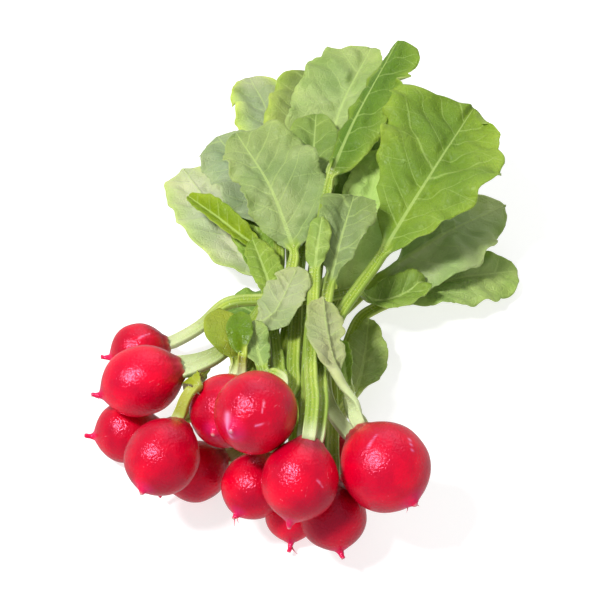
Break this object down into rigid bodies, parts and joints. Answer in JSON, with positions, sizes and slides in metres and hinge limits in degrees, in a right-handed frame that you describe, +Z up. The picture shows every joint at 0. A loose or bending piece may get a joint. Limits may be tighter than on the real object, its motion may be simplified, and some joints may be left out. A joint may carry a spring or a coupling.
{
  "type": "bunch of radishes",
  "caption": "Bunch of round red radishes lying down, roots to the front and leafy tops to the back, to set on a table, counter or tray.",
  "frame": {"origin": "middle of the bunch's outline at table height", "axes": "+X to the right across the roots, +Y along the bunch from the roots to the leaf tips, +Z up from the table"},
  "size_m": [0.1832, 0.2694, 0.0809],
  "materials": {
    "root_skin": "crimson radish skin, satin, slightly wet",
    "leaf_green": "mid green leaf, upper side, matt",
    "leaf_pale": "pale grey-green leaf underside, matt",
    "leaf_yellow": "olive yellow old leaf, matt",
    "leaf_seed": "smooth fresh yellow-green seed leaf, satin"
  },
  "bodies": {
    "root": {"root_01": "root_skin", "root_02": "root_skin", "root_03": "root_skin", "root_04": "root_skin", "root_05": "root_skin", "root_06": "root_skin", "root_07": "root_skin", "root_08": "root_skin", "root_09": "root_skin", "root_10": "root_skin", "root_11": "root_skin", "root_12": "root_skin", "root_13": "root_skin", "leaf_01": "leaf_green", "leaf_02": "leaf_green", "leaf_03": "leaf_green", "leaf_04": "leaf_green", "leaf_05": "leaf_pale", "leaf_06": "leaf_green", "leaf_07": "leaf_pale", "leaf_08": "leaf_green", "leaf_09": "leaf_green", "leaf_10": "leaf_green", "leaf_11": "leaf_yellow", "leaf_12": "leaf_green", "leaf_13": "leaf_green", "leaf_14": "leaf_green", "leaf_15": "leaf_green", "leaf_16": "leaf_green", "leaf_17": "leaf_green", "leaf_18": "leaf_green", "leaf_19": "leaf_pale", "leaf_20": "leaf_pale", "leaf_21": "leaf_green", "leaf_22": "leaf_seed", "leaf_23": "leaf_seed", "leaf_24": "leaf_green", "leaf_25": "leaf_green", "leaf_26": "leaf_green", "leaf_27": "leaf_green", "leaf_28": "leaf_green"}
  },
  "joints": []
}
